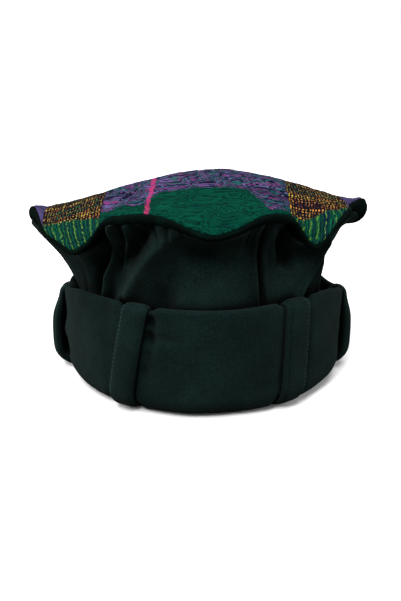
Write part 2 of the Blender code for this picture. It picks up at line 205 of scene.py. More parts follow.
Fold = namedtuple("Fold", "a b c d e wide rise edge start end")
FOLDS = [
    Fold(-84, -83, -82, -80, -78, 14, 0.0012, 2.0, 0.10, 1.05),
    Fold(-63, -62, -60, -57, -54, 3.0, -0.0022, 1.6, 0.00, 0.70),
    Fold(-57, -56, -55, -52, -48, 3.5, 0.0022, 2.0, 0.00, 0.85),
    Fold(-50.0, -48.5, -46.0, -42.5, -39, 2.4, -0.0080, 1.9, -0.10, 0.90),
    Fold(-48, -47, -44.5, -39.5, -35.5, 5.0, -0.0120, 2.2, 0.42, 1.20),
    Fold(-44.8, -42.6, -39.0, -34.0, -30.2, 2.2, 0.0064, 2.0, -0.10, 1.20),
    Fold(-38.6, -37.2, -34.6, -29.4, -27.0, 1.2, -0.0050, 1.6, 0.40, 1.25),
    Fold(-34.9, -33.9, -32.0, -26.7, -25.5, 0.7, 0.0022, 1.6, -0.10, 1.05),
    Fold(-32, -31.2, -29.4, -22.8, -17.6, 2.9, -0.0095, 2.0, 0.48, 1.25),
    Fold(-36, -29.0, -21.5, -13.0, -7.5, 4.6, 0.0076, 2.0, 0.00, 1.02),
    Fold(-20, -14.0, -8.0, -2.0, 3.0, 6.0, -0.0042, 2.0, 0.05, 0.95),
    Fold(-33.5, -33.5, -33, -32, -32, 1.8, -0.0030, 2.0, -0.30, 0.22),
    Fold(-15.5, -16, -16, -16, -16, 4.0, -0.0034, 2.0, -0.30, 0.30),
    Fold(-9, -8, -7, -6, -6, 2.6, -0.0024, 1.8, 0.55, 1.10),
    Fold(-23, -23, -22.6, -22, -22, 0.8, -0.0024, 1.8, 0.66, 1.25),
    Fold(-15, -15, -15, -14.5, -17, 0.8, -0.0022, 1.8, 0.72, 1.25),
    Fold(-12, -12, -12, -11.5, -11, 0.9, -0.0026, 1.8, 0.70, 1.25),
    Fold(15, 15, 15, 15.2, 15.0, 0.7, -0.0022, 1.8, 0.64, 1.25),
    Fold(17, 17, 17, 16.8, 16.6, 0.6, -0.0018, 1.8, 0.70, 1.25),
    Fold(3, 3, 3, 3, 3, 9.0, -0.0042, 2.4, 0.58, 1.05),
    Fold(0, 0, 1, 2, 2, 17, 0.0036, 2.4, -0.20, 0.66),
    Fold(23.2, 21.6, 19.9, 18.7, 18.0, 1.3, 0.0020, 1.8, 0.00, 1.00),
    Fold(25.2, 23.5, 21.8, 20.6, 20.0, 0.65, -0.0048, 1.5, -0.20, 1.25),
    Fold(27.4, 25.7, 24.0, 22.6, 22.0, 1.3, 0.0026, 1.8, 0.00, 1.00),
    Fold(33, 31, 28.6, 24.9, 23.4, 1.7, 0.0036, 1.9, 0.42, 1.00),
    Fold(38, 37, 35.6, 33.0, 31.2, 4.4, -0.0130, 2.4, 0.45, 1.20),
    Fold(35, 37, 38, 40, 41, 6.5, 0.0034, 2.2, 0.00, 0.62),
    Fold(39.5, 45.5, 47.5, 45.5, 43.5, 2.4, 0.0066, 1.7, -0.20, 0.95),
    Fold(45.5, 51.5, 53.0, 52.0, 51.0, 2.8, -0.0086, 1.8, -0.30, 0.60),
    Fold(60.5, 59.0, 56.0, 54.0, 52.0, 2.2, 0.0026, 1.8, -0.20, 0.60),
    Fold(78, 77, 74, 72, 72, 14, -0.0076, 2.0, -0.30, 1.05),
    Fold(84, 84, 84, 84, 84, 12, 0.0036, 2.0, 0.50, 0.92),
    Fold(66, 66, 65, 64, 64, 1.8, -0.0030, 1.4, -0.20, 0.70),
    Fold(88, 87, 86, 85, 84, 4, 0.0030, 1.8, 0.00, 0.90),
    Fold(102, 102, 101, 100, 100, 12, -0.0055, 2.0, -0.30, 1.05),
    Fold(97, 96, 96, 95, 95, 1.8, -0.0035, 1.3, 0.00, 0.90),
    Fold(111, 112, 114, 114, 113, 4, 0.0046, 1.9, 0.05, 1.00),
    Fold(124, 125, 125, 126, 126, 4.5, -0.0080, 1.9, -0.10, 1.05),
    Fold(119, 119, 120, 120, 120, 1.3, -0.0030, 1.3, 0.00, 0.80),
    Fold(134, 132, 130, 130, 131, 2.4, 0.0042, 1.8, 0.05, 1.00),
    Fold(144, 142, 141, 140, 139, 5, 0.0042, 2.2, 0.10, 0.95),
    Fold(156, 156, 155, 155, 154, 3.4, -0.0080, 1.5, -0.10, 1.05),
    Fold(163, 164, 164, 162, 161, 2.2, 0.0040, 1.8, 0.00, 1.00),
    Fold(173, 173, 172, 171, 170, 6, 0.0044, 2.2, 0.05, 0.90),
    Fold(180, 180, 180, 180, 180, 1.0, -0.0040, 1.3, -0.10, 1.05),
    Fold(-168, -168, -169, -170, -170, 4.4, -0.0072, 1.8, -0.10, 1.05),
    Fold(-160, -159, -160, -162, -163, 2.4, 0.0042, 1.8, 0.00, 1.00),
    Fold(-150, -150, -151, -152, -152, 6, 0.0040, 2.2, 0.10, 0.95),
    Fold(-143, -143, -143, -143, -143, 1.2, -0.0040, 1.3, 0.00, 0.90),
    Fold(-134, -135, -136, -137, -138, 4.4, -0.0080, 1.8, -0.10, 1.05),
    Fold(-126, -126, -127, -129, -130, 2.6, 0.0046, 1.8, 0.00, 1.00),
    Fold(-112, -113, -115, -117, -118, 6, 0.0044, 2.2, 0.05, 0.95),
    Fold(-104, -104, -105, -106, -106, 1.5, -0.0044, 1.4, 0.00, 0.95),
    Fold(-96, -95, -94, -94, -95, 4, 0.0030, 1.9, 0.00, 0.90),
]
FOLD_FADE = 0.26
FOLD_SHARES = [0.0, 0.25, 0.5, 0.75, 1.0]

# The two ears, where the facing is wider and curls: width, its first turn and its curl in degrees

Ear = namedtuple("Ear", "angle wide full width turn curl")
EARS = [
    Ear(81, 13, 1.0, 0.0210, -18, 125),
    Ear(-78, 11, 0.8, 0.0090, -8, 55),
]

# Dents in the padded cuff: wide is in degrees, height and tall are shares of the cuff's height

Dent = namedtuple("Dent", "angle height wide tall depth")
DENTS = [
    Dent(-82, 0.76, 5.0, 0.09, 0.0060),
    Dent(-80, 0.52, 3.0, 0.07, -0.0016),
    Dent(-82, 0.30, 5.0, 0.08, 0.0050),
    Dent(-19.5, 0.87, 2.3, 0.055, 0.0062),
    Dent(-20.0, 0.73, 2.5, 0.060, 0.0064),
    Dent(-13, 0.74, 5.0, 0.035, 0.0010),
    Dent(-20.6, 0.57, 1.8, 0.060, 0.0020),
    Dent(-22.0, 0.40, 1.8, 0.070, 0.0018),
    Dent(-40, 0.86, 3.5, 0.10, 0.0014),
    Dent(31, 0.30, 3.0, 0.10, 0.0008),
    Dent(46, 0.78, 3.5, 0.10, 0.0010),
    Dent(80, 0.76, 4.0, 0.12, 0.0034),
    Dent(81, 0.38, 4.0, 0.12, 0.0030),
    Dent(139, 0.75, 4.0, 0.10, 0.0018),
    Dent(153, 0.50, 4.0, 0.10, 0.0018),
    Dent(-139, 0.55, 4.0, 0.10, 0.0018),
    Dent(-153, 0.78, 4.0, 0.10, 0.0018),
    Dent(-96, 0.60, 4.0, 0.12, 0.0022),
    Dent(96, 0.55, 4.0, 0.12, 0.0022),
]


def smooth(share):
    """A soft step from 0 to 1."""
    share = np.clip(share, 0.0, 1.0)
    return share * share * (3.0 - 2.0 * share)


def curve(knots, values, places):
    """A smooth curve through values at the knots, read at places."""
    knots, values = np.asarray(knots, float), np.asarray(values, float)
    slopes = np.gradient(values, knots)
    i = np.clip(np.searchsorted(knots, places) - 1, 0, len(knots) - 2)
    span = knots[i + 1] - knots[i]
    t = (places - knots[i]) / span
    ends = (2 * t**3 - 3 * t**2 + 1) * values[i] + (3 * t**2 - 2 * t**3) * values[i + 1]
    bends = (t**3 - 2 * t**2 + t) * slopes[i] + (t**3 - t**2) * slopes[i + 1]
    return ends + bends * span


def round_table(rows, column, angles):
    """A smooth curve round the cap through one column of a table, read at the angles."""
    knots = np.array([row.angle for row in rows], float)
    values = np.array([getattr(row, column) for row in rows], float)
    knots = np.concatenate([knots[-2:] - 360, knots, knots[:2] + 360])
    values = np.concatenate([values[-2:], values, values[:2]])
    return curve(knots, values, (np.asarray(angles, float) + 180.0) % 360.0 - 180.0)


def apart(a, b):
    """The angle from b to a, the short way round."""
    return (np.asarray(a) - b + 180.0) % 360.0 - 180.0


def place(radius, height, angles):
    """Points at radii and heights round the cap."""
    turn = np.radians(angles)
    height = np.broadcast_to(height, np.shape(radius))
    return np.stack([radius * np.sin(turn), -radius * np.cos(turn), height], axis=-1)


def round_angles(count):
    return np.arange(count) * 360.0 / count


def ripple(points, size, seed, count=36):
    """A soft random relief over points, about 1 high, with swells about size apart."""
    rng = np.random.default_rng(seed)
    ways = rng.normal(size=(count, 3))
    ways /= np.linalg.norm(ways, axis=1)[:, None]
    ways *= 2 * math.pi / size * rng.uniform(0.6, 1.4, count)[:, None]
    phases = rng.uniform(0, 2 * math.pi, count)
    flat = np.asarray(points, float).reshape(-1, 3)
    total = np.zeros(len(flat))
    for way, phase in zip(ways, phases):
        total += np.sin(flat @ way + phase)
    return (total * math.sqrt(2.0 / count)).reshape(np.shape(points)[:-1])


# Meshes


def piece(name, points, faces, corners, material):
    """A smooth closed piece: corners holds each face corner's place on the flat cloth."""
    points = np.asarray(points, float).reshape(-1, 3)
    mesh = bpy.data.meshes.new(name)
    mesh.from_pydata((points + AXIS).tolist(), [], faces)
    layer = mesh.uv_layers.new(name="cloth")
    layer.data.foreach_set("uv", np.asarray(corners, np.float32).ravel())
    mesh.materials.append(material)
    mesh.shade_smooth()
    made = bpy.data.objects.new(name, mesh)
    bpy.context.scene.collection.objects.link(made)
    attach(made, "root")
    return made


def grid(rows, columns, closed_rows, closed_columns):
    """The quads of a grid of points, and for each corner its row and column without wrapping."""
    i = np.arange(rows if closed_rows else rows - 1)
    j = np.arange(columns if closed_columns else columns - 1)
    i, j = (part.ravel() for part in np.meshgrid(i, j, indexing="ij"))
    row = np.stack([i, i + 1, i + 1, i], axis=1)
    column = np.stack([j, j, j + 1, j + 1], axis=1)
    return (row % rows) * columns + column % columns, row, column


def facing_out(points, faces):
    """The faces, turned over if they enclose a negative volume."""
    points = np.asarray(points, float).reshape(-1, 3)
    a, b, c, d = (points[faces[:, k]] for k in range(4))
    volume = (np.cross(a, b) * c).sum() + (np.cross(a, c) * d).sum()
    return volume > 0


def ring(name, points, cloth, material):
    """A closed ring from a grid of points, a row for each place in its section."""
    rows, columns = points.shape[:2]
    faces, row, column = grid(rows, columns, True, True)
    if not facing_out(points, faces):
        faces, row, column = faces[:, ::-1], row[:, ::-1], column[:, ::-1]
    corners = cloth[row.ravel(), column.ravel()]
    return piece(name, points, faces.tolist(), corners, material)


def ring_cloth(points):
    """Places on the flat cloth for a ring: how far round its widest row, and how far along its section."""
    rows, columns = points.shape[:2]
    closed = np.concatenate([points, points[:1]])
    closed = np.concatenate([closed, closed[:, :1]], axis=1)
    along = np.linalg.norm(np.diff(closed, axis=0), axis=-1).mean(axis=1)
    along = np.concatenate([[0.0], np.cumsum(along)])
    length = np.linalg.norm(np.diff(closed, axis=1), axis=-1).sum(axis=1).max()
    round_it = np.linspace(0.0, length, columns + 1)
    return np.stack(np.meshgrid(round_it, along, indexing="xy"), axis=-1)


# The panel and the facing

AROUND = 720
ANGLES = round_angles(AROUND)


def dome(x, y):
    side = x - CROWN_SIDE
    back = y + CROWN_PEAK
    back = back * np.where(back < 0, CROWN_FRONT, CROWN_BACK)
    return CROWN_HEIGHT - CROWN_SLOPE * (np.sqrt(side**2 + back**2 + CROWN_ROUND**2) - CROWN_ROUND)


def panel_top(out, angles):
    """Radius and height of the panel's upper side at shares of the way out."""
    rim = RIM_RADIUS * round_table(RIM, "reach", angles)
    level = CROWN_HEIGHT - RIM_FALL * round_table(RIM, "fall", angles)
    radius = rim * out
    point = place(radius, 0.0, angles)
    edge = place(rim, 0.0, angles)
    bend = level - dome(edge[..., 0], edge[..., 1])
    turn = curve(PANEL_OUT, PANEL_TURN, out)
    return radius, dome(point[..., 0], point[..., 1]) + bend * turn


def directions(radius, height):
    """Unit steps along a list of rows of a section, as radius and height parts."""
    along = np.gradient(radius, axis=0), np.gradient(height, axis=0)
    length = np.hypot(*along)
    return along[0] / length, along[1] / length


HEM = 0.0050  # how far the sewn edge lies from the rim
HEM_DEPTH = 0.0009


def panel_rows(angles):
    """The panel's upper rows from the middle to the rim, and its lower rows back."""
    out = np.concatenate([np.linspace(0.015, 0.86, 60), np.linspace(0.87, 1.0, 34)])[:, None]
    radius, height = panel_top(out, angles[None, :])
    arcs = np.hypot(np.diff(radius, axis=0), np.diff(height, axis=0))
    arcs = np.concatenate([radius[:1], arcs]).cumsum(axis=0)
    along, up = directions(radius, height)
    rim = radius[-1:]
    from_rim = (rim - radius) / np.maximum(along, 0.3)
    hem = HEM_DEPTH * np.exp(-(((from_rim - HEM) / 0.0011) ** 2))
    points = place(radius, height, angles[None, :])
    puff = 0.0003 * smooth(from_rim / 0.02) * ripple(points, 0.035, 3)
    crinkle = 0.00018 * smooth(from_rim / 0.004) * ripple(points * (0.7, 1.5, 1.0), 0.0058, 5)
    lift = puff + crinkle - hem
    radius, height = radius - up * lift, height + along * lift
    half = PANEL / 2
    end = along[-1], up[-1]
    tip = radius[-1] - end[0] * half, height[-1] - end[1] * half
    centre = tip[0] + end[1] * half, tip[1] - end[0] * half
    roll = []
    for turn in np.radians(np.linspace(75, -90, 8)):
        c, s = np.cos(turn), np.sin(turn)
        roll.append((centre[0] + half * (end[0] * c - end[1] * s),
                     centre[1] + half * (end[1] * c + end[0] * s)))
    top = list(zip(radius[:-1], height[:-1]))
    top = [row for row, share in zip(top, out[:-1, 0]) if share < 1.0 - half / RIM_RADIUS]
    keep = np.array([0.97, 0.92, 0.84, 0.7, 0.5, 0.26, 0.015])[:, None]
    under_radius, under_height = panel_top(keep, angles[None, :])
    along, up = directions(under_radius[::-1], under_height[::-1])
    along, up = along[::-1], up[::-1]
    under = list(zip(under_radius + up * PANEL, under_height - along * PANEL))
    arcs = list(arcs[:len(top)]) + [arcs[-1] + half * (0.3 * k - 0.5) for k in range(len(roll))]
    arcs += [arcs[-1] * share for share in keep]
    return top + roll + under, np.array(arcs)


def turned(out, up, degrees):
    """A direction turned in a section, from outwards to downwards."""
    c, s = np.cos(np.radians(degrees)), np.sin(np.radians(degrees))
    return out * c + up * s, up * c - out * s


def rim_frame(angles):
    """The panel's edge, the way it points there, and straight down from it."""
    out = np.array([0.95, 1.0])[:, None]
    radius, height = panel_top(out, angles[None, :])
    along = radius[1] - radius[0], height[1] - height[0]
    length = np.hypot(*along)
    along = along[0] / length, along[1] / length
    return np.array([radius[1], height[1]]), np.array(along), np.array(turned(*along, 90.0))


def facing_line(angles, count=25):
    """The facing's inner line from below the panel to its tip, and the ways on and outwards there."""
    edge, along, down = rim_frame(angles)
    lobe = smooth((round_table(RIM, "fall", angles) - LOBE_START) / (LOBE_FULL - LOBE_START))
    turn, curl, width = FACING_TURN + LOBE_TURN * lobe, 0.0, FACING_WIDTH
    for ear in EARS:
        share = ear.full * np.exp(-((np.abs(apart(angles, ear.angle)) / ear.wide) ** 4))
        turn = turn + (ear.turn - turn) * share
        curl = curl + (ear.curl - curl) * share
        width = width + (ear.width - width) * share
    shares = np.linspace(0.0, 1.0, count)
    on = np.array([turned(*down, turn + curl * share) for share in shares])
    steps = (on[1:] + on[:-1]) / 2 * width / (count - 1)
    start = edge + along * GAP + down * PANEL
    line = start + np.concatenate([np.zeros((1, 2, len(angles))), steps.cumsum(axis=0)])
    outward = np.array([turned(*way, -90.0) for way in on])
    return line, on, outward


def make_panel(material):
    rows, arcs = panel_rows(ANGLES)
    points = np.array([place(radius, height, ANGLES) for radius, height in rows])
    count = len(rows)
    flat = place(arcs, 0.0, ANGLES)[..., :2]
    flat = np.concatenate([flat, flat[:, :1]], axis=1)
    faces, row, column = grid(count, AROUND, False, True)
    faces, row, column = faces[:, ::-1], row[:, ::-1], column[:, ::-1]
    corners = flat[row.ravel(), column.ravel()]
    middle = float(dome(np.float64(0.0), np.float64(0.0)))
    ends = [(0.0, 0.0, middle), (0.0, 0.0, middle - PANEL)]
    first, last = count * AROUND, count * AROUND + 1
    fans, fan_corners = [], []
    for j in range(AROUND):
        k = (j + 1) % AROUND
        fans += [(first, j, k), (last, (count - 1) * AROUND + k, (count - 1) * AROUND + j)]
        fan_corners += [(0, 0), flat[0, j], flat[0, k], (0, 0), flat[-1, k], flat[-1, j]]
    points = np.concatenate([points.reshape(-1, 3), ends])
    corners = np.concatenate([corners, np.array(fan_corners)])
    made = piece("panel_cloth", points, faces.tolist() + fans, corners, material)
    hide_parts("crown_top")
    return made


# The facing's outer and inner line: out is a share of FACING beyond the panel's edge, down a share
# of PANEL below its upper side

Bead = namedtuple("Bead", "out down")
FACING_OUTSIDE = [Bead(0.12, 0.42), Bead(0.55, 0.46), Bead(0.92, 0.72), Bead(1.05, 1.05)]
FACING_INSIDE = [Bead(0.15, 1.10), Bead(0.12, 0.80)]
RIBS = 330
RIB = 0.00012


def make_facing(material):
    angles = round_angles(1320)
    edge, along, down = rim_frame(angles)
    line, _, outward = facing_line(angles)
    ribs = RIB * np.sin(np.radians(angles) * RIBS)

    def at(bead, swell=0.0):
        return edge + along * (bead.out * FACING + swell) + down * bead.down * PANEL

    rows = [at(bead, ribs * min(1.0, bead.out)) for bead in FACING_OUTSIDE]
    for i in range(4, len(line), 2):
        share = i / (len(line) - 1)
        swell = FACING * (1.0 + 0.10 * math.sin(math.pi * share)) + ribs * (1.0 - share**6)
        rows.append(line[i] + outward[i] * swell)
    rows += [line[i] for i in range(len(line) - 1, 3, -4)]
    rows += [at(bead) for bead in FACING_INSIDE]
    points = np.array([place(row[0], row[1], angles) for row in rows])
    made = ring("facing_band", points, ring_cloth(points), material)
    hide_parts("rim_facing")
    return made


# The crown's wall


def cuff_top(angles):
    return CUFF_HEIGHT * round_table(CUFF_EDGE, "height", angles)


def pinch(angles, end):
    """How fully the cuff is pressed at each angle by a loop: end is foot or top."""
    half = np.degrees(LOOP_WIDTH / 2 / CUFF_OUTER)
    pressed = np.zeros(np.shape(angles))
    for loop in LOOPS:
        beyond = np.abs(apart(angles, getattr(loop, end))) - half * loop.wide
        pressed = np.maximum(pressed, 1.0 - smooth(beyond / 4.0))
    return pressed


def fold_rise(share, angles):
    """How far the wall's folds stand out, at a share of the way up."""
    rise = np.zeros(np.shape(angles))
    for fold in FOLDS:
        middle = float(curve(FOLD_SHARES, fold[:5], np.float64(share)))
        across = np.exp(-((np.abs(apart(angles, middle)) / fold.wide) ** fold.edge))
        along = smooth((share - fold.start) / FOLD_FADE + 0.3)
        along = along * smooth((fold.end - share) / FOLD_FADE)
        rise += fold.rise * across * along
    return rise


def gathers(share, angles):
    """Small gathers that hang from the facing and die out below it."""
    rng = np.random.default_rng(11)
    rise = np.zeros(np.shape(angles))
    middle = -180.0
    while middle < 178.0:
        middle += rng.uniform(2.2, 4.2)
        wide, depth, reach = rng.uniform(0.7, 1.2), rng.uniform(0.4, 1.0), rng.uniform(0.12, 0.36)
        drift = rng.uniform(-2.0, 2.0) * (1.0 - share)
        across = np.exp(-((apart(angles, middle + drift) / wide) ** 2))
        rise += depth * across * smooth((share - 1.0 + reach) / reach)
    return 0.0015 * rise * smooth((1.0 - share) / 0.04)


def wall_rows(angles):
    """The wall's outer rows from its foot to the facing, and its inner rows."""
    line, on, outward = facing_line(angles)
    on = on[-1]
    tip = line[-1] + on * GAP + outward[-1] * FACING
    base = np.full(len(angles), HEAD_RADIUS + WALL), cuff_top(angles) - LOOP_TAIL / 2
    length = np.hypot(tip[0] - base[0], tip[1] - base[1])
    rise = base[0], base[1] + length * WALL_RISE
    hollow = FRONT_HOLLOW * np.exp(-((apart(angles, 0.0) / 50.0) ** 4))
    lean = tip[0] + on[0] * length * WALL_LEAN - hollow, tip[1] + on[1] * length * WALL_LEAN
    foot = CUFF + GAP + LOOP_ROOM * pinch(angles, "foot")
    rows = [(np.full(len(angles), FOLD_CENTRE), foot),
            (base[0] - 0.0015, foot + CUFF_ROUND * 0.6),
            (base[0], foot + CUFF_ROUND)]
    for share in np.linspace(0.0, 1.0, 88):
        weights = (1 - share) ** 3, 3 * share * (1 - share) ** 2, 3 * share**2 * (1 - share), share**3
        radius = sum(w * point[0] for w, point in zip(weights, (base, rise, lean, tip)))
        height = sum(w * point[1] for w, point in zip(weights, (base, rise, lean, tip)))
        out = fold_rise(share, angles) + gathers(share, angles)
        creases = 0.0004 * ripple(place(radius, height * 0.4, angles), 0.014, 17)
        rows.append((radius + (out + creases) * smooth(share / 0.06), height))
    radius, height = (np.array(part) for part in zip(*rows))
    return radius, height, on


def make_wall(material):
    angles = round_angles(900)
    radius, height, on = wall_rows(angles)
    along, up = directions(radius, height)
    along[0], up[0] = 0.0, 1.0
    along[-1], up[-1] = -on[0], -on[1]
    inner = radius - up * WALL, height + along * WALL
    keep = [len(radius) - 1] + list(range(len(radius) - 6, 3, -9)) + [2, 1, 0]
    rows = [(radius[i], height[i]) for i in range(len(radius))]
    rows += [(inner[0][i], inner[1][i]) for i in keep]
    points = np.array([place(r, h, angles) for r, h in rows])
    made = ring("wall_gathered", points, ring_cloth(points), material)
    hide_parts("crown_side")
    return made


# The cuff


def arc(centre, radius, degrees):
    turn = np.radians(degrees)
    return [(centre[0] + radius * np.cos(a), centre[1] + radius * np.sin(a)) for a in turn]


def cuff_outside(height, foot, top, off=0.0):
    """A section round the cuff's outer side, off clear of it, from its sole over its top."""
    fold = FOLD_CENTRE, CUFF_ROUND + foot * LOOP_ROOM
    crest = CUFF_OUTER + CUFF_FLARE - CUFF / 2, height - CUFF / 2 - top * LOOP_PINCH
    low, high = CUFF_OUTER + off, CUFF_OUTER + CUFF_FLARE + off
    face = [(low + (high - low) * t, fold[1] + (crest[1] - fold[1]) * t)
            for t in np.linspace(0.04, 0.96, 40)]
    return (
        [(FOLD_CENTRE - SOLE, fold[1] - CUFF_ROUND - off)]
        + arc(fold, CUFF_ROUND + off, np.linspace(-90, 0, 14))
        + face
        + arc(crest, CUFF / 2 + off, np.linspace(0, 180, 13))
    )


def puff(angles, height, top):
    """How far the cuff's padding stands out between the loops, with its dents."""
    share = np.clip(height / top, 0.0, 1.0)
    held = pinch(angles, "foot") * (1 - share) + pinch(angles, "top") * share
    full = np.sin(np.pi * share) ** 0.7
    out = 0.0014 * full * (1.0 - held) - 0.0003 * held * full
    for dent in DENTS:
        across = (apart(angles, dent.angle) / dent.wide) ** 2
        out = out - dent.depth * np.exp(-across - ((share - dent.height) / dent.tall) ** 2)
    return out


def cuff_face(angles, off=0.0, foot=None, top=None):
    """The cuff's whole outer side as rows of radii and heights."""
    level = cuff_top(angles)
    foot = pinch(angles, "foot") if foot is None else foot
    top = pinch(angles, "top") if top is None else top
    rows = cuff_outside(level, foot, top, off)
    radius = np.array([row[0] + np.zeros(len(angles)) for row in rows])
    height = np.array([row[1] + np.zeros(len(angles)) for row in rows])
    return radius, height, level


def make_cuff(material):
    radius, height, level = cuff_face(ANGLES)
    soft = puff(ANGLES[None, :], height, level[None, :])
    points = place(radius, height, ANGLES)
    lumps = 0.00030 * ripple(points, 0.045, 23) + 0.00006 * ripple(points, 0.010, 29)
    outer = smooth((radius - FOLD_CENTRE) / 0.006)[:, :] * smooth(height / 0.004)
    radius = radius + (soft + lumps) * outer
    foot = pinch(ANGLES, "foot")
    centre = FOLD_CENTRE, CUFF_ROUND + foot * LOOP_ROOM
    inside = arc(centre, CUFF_ROUND - CUFF, np.linspace(0, -90, 10))
    inside += [(FOLD_CENTRE - SOLE, centre[1] - CUFF_ROUND + CUFF)]
    rows = list(zip(radius, height))
    rows += [(r + np.zeros(AROUND), h + np.zeros(AROUND)) for r, h in inside]
    points = np.array([place(r, h, ANGLES) for r, h in rows])
    made = ring("cuff_padded", points, ring_cloth(points), material)
    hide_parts("cuff")
    return made


# The loops


def loop_lines(loop, across, count=150):
    """The inner line of a loop at a place across it, from under its foot to its tail, as points."""
    beside = np.degrees(across * LOOP_WIDTH * loop.wide / 2 / CUFF_OUTER)
    level = float(cuff_top(loop.top + beside))
    line = cuff_outside(level, 1.0, 1.0, GAP)
    end = line[-1]
    line.append((end[0] - CUFF_FLARE * LOOP_TAIL / CUFF_HEIGHT, end[1] - LOOP_TAIL))
    line = np.array([(float(r), float(h)) for r, h in line])
    steps = np.concatenate([[0.0], np.cumsum(np.linalg.norm(np.diff(line, axis=0), axis=1))])
    at = np.linspace(0.0, steps[-1], count)
    radius, height = np.interp(at, steps, line[:, 0]), np.interp(at, steps, line[:, 1])
    share = np.clip(height / level, 0.0, 1.0)
    front = smooth((radius - (CUFF_OUTER - 0.012)) / 0.008)
    lift = curve([s.height for s in LOOP_STANDS], [s.lift for s in LOOP_STANDS], share) * front
    middle = loop.foot + (loop.top - loop.foot) * share + beside
    full = np.clip((at - SOLE) / 0.028, 0.0, 1.0)
    rear = across * math.copysign(1.0, loop.foot)
    lift = lift * loop.lift * (1.0 - loop.lean * float(smooth((rear + 0.4) / 1.4)))
    plump = 1.0 + (loop.plump - 1.0) * (1.0 - smooth((share - 0.60) / 0.35))
    thick = LOOP_PRESSED + (LOOP * plump - LOOP_PRESSED) * smooth(full)
    return radius + LOOP_LIFT * lift, height, middle, thick, at


def loop_side(loop, across, deep):
    """Points of a loop across it, deep being how far through its thickness they lie."""
    radius, height, middle, thick, at = loop_lines(loop, across)
    along = np.gradient(radius), np.gradient(height)
    length = np.hypot(*along)
    out = along[1] / length, -along[0] / length
    body = 1.0 - 0.50 * abs(across) ** 4
    for seam in loop.seams:
        body -= 0.16 * math.exp(-(((across - seam) / 0.055) ** 2))
    thick = thick * body
    return place(radius + out[0] * thick * deep, height + out[1] * thick * deep, middle), at


def make_loop(loop, material):
    tops = np.sin(np.linspace(-math.pi / 2, math.pi / 2, 33))
    outer = [loop_side(loop, across, 1.0)[0] for across in tops]
    inner = [loop_side(loop, across, 0.0)[0] for across in tops[::-4]]
    points = np.array(outer + inner)
    rows, columns = points.shape[:2]
    faces, row, column = grid(rows, columns, True, False)
    turned_over = not facing_out(points, faces)
    if turned_over:
        faces, row, column = faces[:, ::-1], row[:, ::-1], column[:, ::-1]
    at = loop_side(loop, 0.0, 0.0)[1]
    wide = np.concatenate([tops * LOOP_WIDTH / 2, tops[::-4] * LOOP_WIDTH / 2, [-LOOP_WIDTH / 2]])
    cloth = np.stack(np.meshgrid(at, wide, indexing="xy")[::-1], axis=-1)
    corners = [tuple(uv) for uv in cloth[row.ravel(), column.ravel()]]
    faces = [tuple(face) for face in faces]
    for end, flip in ((0, turned_over), (columns - 1, not turned_over)):
        rim = [i * columns + end for i in range(rows)]
        rim = rim[::-1] if flip else rim
        faces.append(tuple(rim))
        corners += [(0.0, at[end])] * rows
    name = "loop_" + loop.name
    made = piece(name, points, faces, corners, material)
    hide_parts("cuff_loop_" + loop.name)
    return made


STITCH = 0.0026  # length of a stitch
STITCH_STEP = 0.0030
THREAD = 0.00036  # its radius
# The stitch row drawn with the darkened copy of the thread, as painted shade
SHADED_ROW = "front_right", "a"


def threads(name, line, outward, material, step=STITCH_STEP, length=STITCH):
    """A row of stitches, one piece, along a line of points on a cloth."""
    line, outward = np.asarray(line), np.asarray(outward)
    steps = np.concatenate([[0.0], np.cumsum(np.linalg.norm(np.diff(line, axis=0), axis=1))])
    sides, stations = 6, 5
    points, faces = [], []
    for start in np.arange(step / 2, steps[-1] - length, step):
        t = np.linspace(0.0, 1.0, stations)
        at = start + length * t
        middle = np.stack([np.interp(at, steps, line[:, k]) for k in range(3)], axis=1)
        out = np.stack([np.interp(at, steps, outward[:, k]) for k in range(3)], axis=1)
        out /= np.linalg.norm(out, axis=1)[:, None]
        ahead = middle[-1] - middle[0]
        ahead /= np.linalg.norm(ahead)
        beside = np.cross(ahead, out)
        middle = middle + out * (THREAD * (1.3 * np.sin(math.pi * t) - 0.55))[:, None]
        size = THREAD * np.sqrt(np.clip(1.0 - (2 * t - 1) ** 4 * 0.75, 0.0, 1.0))
        base = len(points)
        for m, o, b, r in zip(middle, out, beside, size):
            for k in range(sides):
                turn = 2 * math.pi * k / sides
                points.append(m + r * (math.cos(turn) * o + math.sin(turn) * b))
        for i in range(stations - 1):
            for k in range(sides):
                a, c = base + i * sides + k, base + i * sides + (k + 1) % sides
                faces.append((a, c, c + sides, a + sides))
        faces.append(tuple(base + k for k in range(sides))[::-1])
        faces.append(tuple(base + (stations - 1) * sides + k for k in range(sides)))
    corners = np.zeros((sum(len(face) for face in faces), 2))
    return piece(name, np.array(points), faces, corners, material)


def make_loop_stitches(loop, material, dark):
    made = []
    for side, across in zip("ab", loop.seams):
        # dark is the thread's shaded copy: painted shade on this one row
        thread = dark if (loop.name, side) == SHADED_ROW else material
        line = loop_side(loop, across, 1.0)[0]
        outward = line - loop_side(loop, across, 0.0)[0]
        name = "stitches_" + loop.name + "_" + side
        made.append(threads(name, line[8:-2], outward[8:-2], thread))
    return made


# Materials


